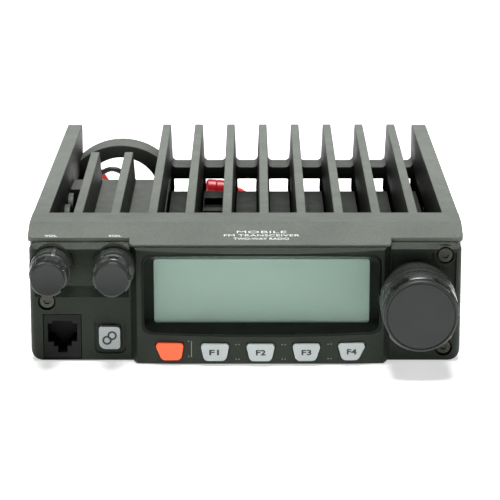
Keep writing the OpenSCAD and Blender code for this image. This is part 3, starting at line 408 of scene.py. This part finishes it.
def soften(node, width):
    """Rounds the sharp edges of a CAD node with modifiers; its own mesh stays as it is."""
    obj = nodes[node]
    weld = obj.modifiers.new("weld", "WELD")
    weld.merge_threshold = 0.005 * MM
    bevel = obj.modifiers.new("edges", "BEVEL")
    bevel.width = width
    bevel.segments = 2
    bevel.limit_method = "ANGLE"
    bevel.angle_limit = math.radians(30)
    bevel.use_clamp_overlap = True
    bevel.harden_normals = True


# ---------------------------------------------------------------- supply lead

WIRE_R = 1.2 * MM

# The routes repeat the points of part.scad, in millimetres
RED_ROUTE = [
    (-3, 78, 13.4), (-3, 81, 13.4), (-0.8, 91, 12.4), (1.4, 101, 12.8), (0.6, 109.6, 15.4),
    (-3.4, 114.6, 17.4), (-9, 116, 18), (-18.4, 116, 18.8), (-22.4, 119.4, 15.8),
    (-23.4, 125, 10.6), (-28, 130, 7.6), (-37, 131.6, 7), (-46, 130.6, 7.4), (-55, 129, 8.6),
    (-61, 127.6, 13.6), (-64.2, 127, 20), (-68, 128, 24.4), (-73.4, 130.6, 23.4),
    (-76.6, 135.6, 17.6), (-76.6, 143.4, 10.6), (-72.6, 149.6, 5), (-65, 152, 2.2),
    (-55.4, 150.4, 1.6), (-45, 145.6, 1.6), (-34, 139.6, 1.6), (-23, 133.2, 1.6),
    (-12, 127, 2.6), (-2, 122.4, 5.2), (6, 121, 6), (10, 121, 6),
]
BLACK_ROUTE = [
    (-3, 78, 10.4), (-3, 81, 10.4), (-3.6, 91, 8.4), (-6, 102, 6.4), (-12, 112, 5),
    (-22, 118, 4.8), (-33, 122, 6.8), (-43, 123.4, 12.4), (-51.4, 123, 20.2), (-60, 122.6, 25.4),
    (-67, 123.6, 22), (-69.6, 129, 15.4), (-68, 137, 9.6), (-61.6, 143.2, 5), (-52, 143.6, 2.2),
    (-42, 138.6, 1.6), (-31.6, 132, 1.6), (-21, 125.4, 1.6), (-11, 120.2, 2.8), (-2, 117.4, 5.2),
    (6, 117, 6), (10, 117, 6),
]


def spline_point(a, b, c, d, t):
    """A point between b and c on a curve that runs through a, b, c and d."""
    return 0.5 * (2 * b + (c - a) * t + (2 * a - 5 * b + 4 * c - d) * t * t
                  + (3 * b - a - 3 * c + d) * t ** 3)


def smooth_path(route, steps=5):
    """The route's points, with more points on a smooth curve between them."""
    points = [mm(*p) for p in route]
    last = len(points) - 1
    path = []
    for i in range(last):
        around = points[max(i - 1, 0)], points[i], points[i + 1], points[min(i + 2, last)]
        path += [spline_point(*around, j / steps) for j in range(steps)]
    return path + [points[last]]


def wire(name, route, material, node):
    """One insulated wire of the lead, in place of its CAD node."""
    path = smooth_path(route)
    data = bpy.data.curves.new(name, "CURVE")
    data.dimensions = "3D"
    data.bevel_depth = WIRE_R
    data.bevel_resolution = 4
    data.use_fill_caps = True
    spline = data.splines.new("POLY")
    spline.points.add(len(path) - 1)
    for point, at in zip(spline.points, path):
        point.co = (*at, 1)
    spline.use_smooth = True
    obj = finished(linked(name, data), material, "case")
    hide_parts(node)


wire("red_wire", RED_ROUTE, RED_WIRE, "dc_wire_red")
wire("black_wire", BLACK_ROUTE, BLACK_WIRE, "dc_wire_black")

# ---------------------------------------------------------------- knobs

POCKETS = 5
ROUND_STEPS = 180

# Degrees: half widths, the stretch over which each fades out, and where the small knobs point
SMALL_POCKET_HALF = 13
DIAL_POCKET_HALF = 14
SMALL_RIB_HALF = 5
POCKET_EDGE = 2.5
RIB_EDGE = 2
VOLUME_TURN = 13
SQUELCH_TURN = -31


def smooth_step(low, high, value):
    """From 0 at low to 1 at high, level at both ends."""
    t = min(1.0, max(0.0, (value - low) / (high - low)))
    return t * t * (3 - 2 * t)


def inside(angle, centre, half, edge):
    """1 up to half degrees from a centre, falling to 0 over the edge's degrees."""
    away = abs((angle - centre + 180) % 360 - 180)
    return 1 - smooth_step(half, half + edge, away)


class Ring:
    """One ring of a knob, in millimetres: depth from the front, radius, pocket and rib."""

    def __init__(self, depth, radius, pocket=0.0, rib=0.0):
        self.depth = depth
        self.radius = radius
        self.pocket = pocket
        self.rib = rib

    def radius_at(self, angle, pocket_half, rib_half):
        """The radius at an angle from the rib, which is halfway between two pockets."""
        pitch = 360 / POCKETS
        nearest = (round((angle - pitch / 2) / pitch) + 0.5) * pitch
        radius = self.radius - self.pocket * inside(angle, nearest, pocket_half, POCKET_EDGE)
        return radius + self.rib * inside(angle, 0, rib_half, RIB_EDGE)


def knob(name, node, body, profile, turned, pocket_half, rib_half, face_rings):
    """A fluted knob round the y axis, in place of its CAD node; its face has a second material.

    The profile is a function that makes the rings for a length in millimetres.
    """
    low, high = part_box(node)
    axis = middle(node)
    rings = profile((high.y - low.y) / MM)
    work = bmesh.new()
    loops = []
    for ring in rings:
        loop = []
        for i in range(ROUND_STEPS):
            angle = 360 * i / ROUND_STEPS
            radius = ring.radius_at(angle - turned, pocket_half, rib_half) * MM
            turn = math.radians(angle)
            loop.append(work.verts.new((
                axis.x + radius * math.sin(turn), low.y + ring.depth * MM,
                axis.z + radius * math.cos(turn))))
        loops.append(loop)
    centre = work.verts.new((axis.x, low.y + rings[0].depth * MM, axis.z))
    for i in range(ROUND_STEPS):
        j = (i + 1) % ROUND_STEPS
        work.faces.new((centre, loops[0][j], loops[0][i])).material_index = 1
        for k, (front, back) in enumerate(zip(loops, loops[1:])):
            face = work.faces.new((front[i], front[j], back[j], back[i]))
            face.material_index = 1 if k < face_rings else 0
    bmesh.ops.recalc_face_normals(work, faces=work.faces)
    data = bpy.data.meshes.new(name)
    work.to_mesh(data)
    work.free()
    smooth_by_angle(data, 28)
    obj = finished(linked(name, data), KNOB, body)
    data.materials.append(CAP)
    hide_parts(node)


def small_knob_rings(depth):
    """From the face to the hollow back."""
    return [
        Ring(0.15, 5.3), Ring(0, 5.6), Ring(0, 5.8), Ring(0.1, 6.0), Ring(0.35, 6.15),
        Ring(0.9, 6.2), Ring(2.0, 6.25),
        Ring(2.2, 6.9, 0.75), Ring(2.6, 7.0, 1.1), Ring(6.6, 7.1, 1.1), Ring(6.9, 7.2, 1.0),
        Ring(7.1, 7.2), Ring(7.5, 7.2, 0, 0.4), Ring(9.6, 7.2, 0, 0.5),
        Ring(9.8, 6.9, 0, 0.8), Ring(10.5, 6.9, 0, 0.8), Ring(10.7, 7.35, 0, 0.4),
        Ring(11.2, 7.5, 0, 0.3), Ring(13.6, 7.5, 0, 0.3), Ring(13.75, 7.2, 0, 0.6),
        Ring(14.2, 7.2, 0, 0.6), Ring(14.35, 7.5, 0, 0.3), Ring(depth - 0.3, 7.5, 0, 0.28),
        Ring(depth, 7.3), Ring(depth, 6.3), Ring(depth - 3, 6.1), Ring(depth - 3, 2.0),
    ]


def dial_rings(depth):
    """From the sunk face, which holds the CAD's inlaid cap, to the hollow back."""
    return [
        Ring(0.7, 11.5), Ring(0.7, 12.25), Ring(0.08, 12.35), Ring(0, 12.6),
        Ring(0.12, 12.95), Ring(0.45, 13.2), Ring(1.2, 13.25), Ring(2.0, 13.25),
        Ring(2.15, 13.6, 0.35), Ring(2.5, 13.85, 2.0), Ring(3.4, 13.85, 2.2),
        Ring(7.4, 13.85, 2.2), Ring(7.6, 13.85, 2.0), Ring(7.8, 13.85), Ring(10.4, 13.85),
        Ring(10.6, 13.2), Ring(11.6, 13.2), Ring(11.8, 13.9), Ring(12.2, 14.0),
        Ring(14.6, 14.0), Ring(14.75, 13.4), Ring(15.6, 13.4), Ring(15.75, 14.0),
        Ring(depth - 0.4, 14.0), Ring(depth, 13.7), Ring(depth, 12.4),
        Ring(depth - 3, 12.0), Ring(depth - 3, 3.0),
    ]


for body, turned in (("volume", VOLUME_TURN), ("squelch", SQUELCH_TURN)):
    node = body + "_knob"
    knob(node + "_shell", node, body, small_knob_rings, turned,
         SMALL_POCKET_HALF, SMALL_RIB_HALF, face_rings=5)
knob("dial_shell", "tuning_knob", "tuning", dial_rings, 0, DIAL_POCKET_HALF, 0, face_rings=6)

# ---------------------------------------------------------------- markings

OUT_OF_THE_WAY = 1  # metres: a line drawn onto the object starts this far from its middle
INTO_PANEL = Vector((0, 1, 0))
DOWN = Vector((0, 0, -1))
CASE_ORIGIN_Y = -80  # mm: where y = 0 of part.scad lies in this frame

# How far the ink stands out, and how deep the letters are
INK_RISE = 0.015 * MM
BAND_LETTER_RISE = 0.02 * MM
LEGEND_RISE = 0.01 * MM
LETTER_DEPTH = 0.06 * MM

LEGEND_WIDTH = 3.6 * MM
LEGEND_HEIGHT = 2.1 * MM
LEGEND_WEIGHT = 0.03

bpy.context.view_layer.update()


def surface(node, start, direction):
    """Where a line meets a CAD node, and the surface's normal there."""
    place = nodes[node].matrix_world
    back = place.inverted()
    hit, at, normal, _ = nodes[node].ray_cast(back @ start, back.to_3x3() @ direction)
    assert hit, (node, start)
    return place @ at, (place.to_3x3() @ normal).normalized()


def lettering(name, text, at, normal, width, height, material, body, weight):
    """Text on a surface whose normal lies in the y-z plane, scaled to a width and a height.

    The weight thickens the strokes, or thins them, by a share of the font's size.
    """
    data = bpy.data.curves.new(name, "FONT")
    data.body = text
    data.size = 1
    data.align_x = "CENTER"
    data.align_y = "CENTER"
    data.extrude = 0.5
    data.offset = weight
    obj = linked(name, data)
    bpy.context.view_layer.update()
    wide, tall = obj.dimensions.x, obj.dimensions.y
    tilt = math.atan2(-normal.y, normal.z)
    obj.rotation_euler = Euler((tilt, 0, 0))
    obj.scale = (width / wide, height / tall, LETTER_DEPTH)
    obj.location = at
    finished(obj, material, body)


def band_label(name, text, x, y, width, height, weight=0.0):
    """White words on the top band; x and y are as in part.scad, in millimetres."""
    start = Vector((x * MM, (y + CASE_ORIGIN_Y) * MM, OUT_OF_THE_WAY))
    at, normal = surface("heatsink_chassis", start, DOWN)
    at += normal * BAND_LETTER_RISE
    lettering(name, text, at, normal, width * MM, height * MM, INK, "case",
              weight)


band_label("volume_label", "VOL", -71.4, 3.1, 4.6, 1.2)
band_label("squelch_label", "SQL", -47.85, 3.1, 4.7, 1.2)
band_label("name_line", "MOBILE", 5.9, 5.5, 18.3, 1.5, -0.012)
band_label("kind_line", "FM TRANSCEIVER", 5.9, 3.35, 27.8, 1.3, -0.006)
band_label("band_line", "TWO-WAY RADIO", 5.9, 1.2, 20.3, 1.3)

FUNCTION_KEYS = [f"function_key_{number}" for number in range(1, 5)]
for number, node in enumerate(FUNCTION_KEYS, 1):
    at = middle(node)
    at.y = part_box(node)[0].y - LEGEND_RISE
    lettering(node + "_legend", f"F{number}", at, -INTO_PANEL, LEGEND_WIDTH, LEGEND_HEIGHT,
              DARK_INK, node, LEGEND_WEIGHT)


def printed(name, outlines, node, body, material):
    """Flat shapes printed on a front face; each outline is a list of x, z points in millimetres."""
    work = bmesh.new()
    for outline in outlines:
        low, high = [], []
        for x, z in outline:
            at, _ = surface(node, Vector((x * MM, -OUT_OF_THE_WAY, z * MM)), INTO_PANEL)
            low.append(work.verts.new(at + INTO_PANEL * INK_RISE))
            high.append(work.verts.new(at - INTO_PANEL * INK_RISE))
        work.faces.new(high)
        for i in range(len(outline)):
            j = (i + 1) % len(outline)
            work.faces.new((high[i], high[j], low[j], low[i]))
    bmesh.ops.recalc_face_normals(work, faces=work.faces)
    data = bpy.data.meshes.new(name)
    work.to_mesh(data)
    work.free()
    finished(linked(name, data), material, body)


def ring_pieces(x, z, radius, width, steps=28):
    """A ring as short four-sided pieces, so that each lies flat on the surface."""
    pieces = []
    for i in range(steps):
        corners = []
        for k, r in ((i, radius), (i + 1, radius), (i + 1, radius - width), (i, radius - width)):
            turn = 2 * math.pi * k / steps
            corners.append((x + r * math.cos(turn), z + r * math.sin(turn)))
        pieces.append(corners)
    return pieces


def dot(x, z, steps=12):
    """The outline of a printed dot."""
    turns = [2 * math.pi * i / steps for i in range(steps)]
    return [(x + DOT_R * math.cos(turn), z + DOT_R * math.sin(turn)) for turn in turns]


# Sizes and places of the printed marks, in millimetres
LINK_RING_R = 1.75
LINK_RING_WIDTH = 0.7
LINK_STEP_X = 0.95
LINK_STEP_Z = 0.9
DOT_R = 0.24
DOT_PAIR_HALF = 0.55
KEY_MARK_X = (-2.9, 14.1, 31.0)
KEY_MARK_Z = (2.5, 8.1)
POWER_DOT_X = -20.9
POWER_DOT_Z = (3.4, 9.2)
POWER_LINE_X = (-20.0, -19.7)
POWER_LINE_Z = (3.2, 9.3)


def link_symbol():
    """Two linked rings, one low on the left and one high on the right."""
    key = middle("link_key") / MM
    rings = []
    for side in (-1, 1):
        x = key.x + side * LINK_STEP_X
        z = key.z + side * LINK_STEP_Z
        rings += ring_pieces(x, z, LINK_RING_R, LINK_RING_WIDTH)
    printed("link_symbol", rings, "link_key", "link_key", DARK_INK)


def key_marks():
    """Pairs of dots between the function keys."""
    dots = [dot(x + side * DOT_PAIR_HALF, z) for x in KEY_MARK_X for z in KEY_MARK_Z
            for side in (-1, 1)]
    printed("key_marks", dots, "front_panel", "case", DIM_INK)


def power_mark():
    """A line and two dots beside the power key."""
    left, right = POWER_LINE_X
    foot, top = POWER_LINE_Z
    line = [(left, foot), (right, foot), (right, top), (left, top)]
    dots = [dot(POWER_DOT_X, z) for z in POWER_DOT_Z]
    printed("power_mark", [line, *dots], "front_panel", "case", DIM_INK)


link_symbol()
key_marks()
power_mark()

# ---------------------------------------------------------------- edges

soften("front_panel", 0.35 * MM)
for key in ("power_key", *FUNCTION_KEYS, "link_key"):
    soften(key, 0.3 * MM)
soften("mic_jack", 0.15 * MM)
soften("tuning_knob_cap", 0.15 * MM)
soften("dc_plug", 0.3 * MM)
soften("bottom_cover", 0.2 * MM)

# ---------------------------------------------------------------- light and floor

FLOOR_SIZE = 12
FLOOR_GAP = 0.2 * MM
FLOOR_GLOW = 0.55
WORLD_GLOW = 0.06


def area_light(name, at, towards, size, power):
    """A soft rectangular light; places and sizes in metres, power in watts."""
    data = bpy.data.lights.new(name, "AREA")
    data.shape = "RECTANGLE"
    data.size = size[0]
    data.size_y = size[1]
    data.energy = power
    light = linked(name, data)
    light.location = at
    light.rotation_euler = (Vector(towards) - Vector(at)).to_track_quat("-Z", "Y").to_euler()


def floor_material():
    """A pale floor, bright enough to wash out most of the shadow."""
    s = Shader("floor")
    s.colour(s.noise(300), (0.90, 0.90, 0.90), (0.93, 0.93, 0.93))
    s.roughness(s.noise(200), 0.7, 0.8)
    s.set(Emission_Color=(1, 1, 1, 1), Emission_Strength=FLOOR_GLOW)
    return s.material


def make_stage():
    bpy.ops.mesh.primitive_plane_add(size=FLOOR_SIZE, location=(0, 0, cad_low.z - FLOOR_GAP))
    floor = bpy.context.object
    floor.name = "floor"
    floor.data.materials.append(floor_material())
    world = bpy.data.worlds.new("world")
    bpy.context.scene.world = world
    world.use_nodes = True
    background = world.node_tree.nodes["Background"]
    background.inputs["Color"].default_value = (1, 1, 1, 1)
    background.inputs["Strength"].default_value = WORLD_GLOW
    area_light("top_light", (0.0, -0.18, 1.25), (0, 0, 0), (0.45, 0.8), 26)
    area_light("left_light", (-1.1, -0.6, 0.8), (0, 0, 0.02), (0.7, 0.9), 1.8)
    area_light("right_light", (1.1, -0.3, 0.7), (0, 0, 0.02), (0.6, 0.9), 1.2)
    area_light("front_light", (0.0, -1.5, 0.3), (0, 0, 0.02), (1.6, 0.5), 1.0)
    area_light("rear_light", (0.0, 1.6, 0.5), (0, 0, 0.04), (1.6, 0.3), 3.0)


make_stage()
